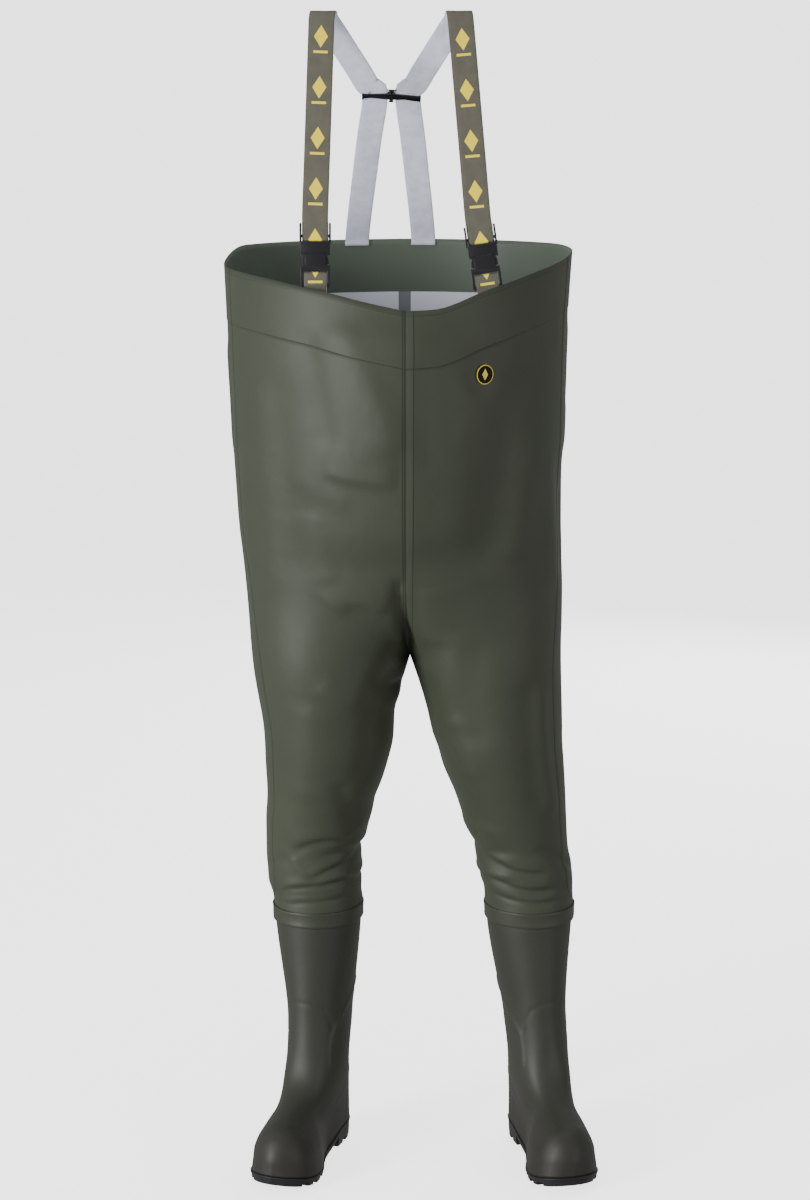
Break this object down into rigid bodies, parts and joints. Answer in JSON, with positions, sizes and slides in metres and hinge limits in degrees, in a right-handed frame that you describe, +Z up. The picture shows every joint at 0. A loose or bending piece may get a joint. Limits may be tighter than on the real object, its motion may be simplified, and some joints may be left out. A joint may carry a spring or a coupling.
{
  "type": "chest wader",
  "caption": "Chest wader in coated green fabric with welded moulded boots, a hemmed bib open at the top, webbing braces with side release buckles and a back slide.",
  "frame": {"origin": "middle of the garment's outer box at floor level", "axes": "+Z up; the wearer faces -Y, so the wearer's left is +X"},
  "size_m": [0.597, 0.4086, 1.8503],
  "materials": {
    "boot": "satin moulded PVC, dark grey green",
    "sole": "matte black moulded PVC",
    "insole": "grey felt footbed",
    "fabric": "PVC coated polyester, satin dark green, printed on the outside only",
    "band": "welded PVC tape, satin dark green",
    "webbing": "elastic webbing, olive outside with plain yellow lozenges, pale inside",
    "plastic": "moulded acetal, near black",
    "badge": "plain black disc with a yellow rim"
  },
  "bodies": {
    "root": {"boot_upper_right": "boot", "boot_sole_right": "sole", "insole_right": "insole", "shaft_band_right": "band", "buckle_plug_right": "plastic", "buckle_socket_right": "plastic", "strap_tab_right": "webbing", "strap_right": "webbing", "boot_upper_left": "boot", "boot_sole_left": "sole", "insole_left": "insole", "shaft_band_left": "band", "buckle_plug_left": "plastic", "buckle_socket_left": "plastic", "strap_tab_left": "webbing", "strap_left": "webbing", "wader_body": "fabric", "chest_badge": "badge", "back_slide_front": "plastic", "back_slide_back": "plastic", "slide_pin": "plastic"}
  },
  "joints": []
}
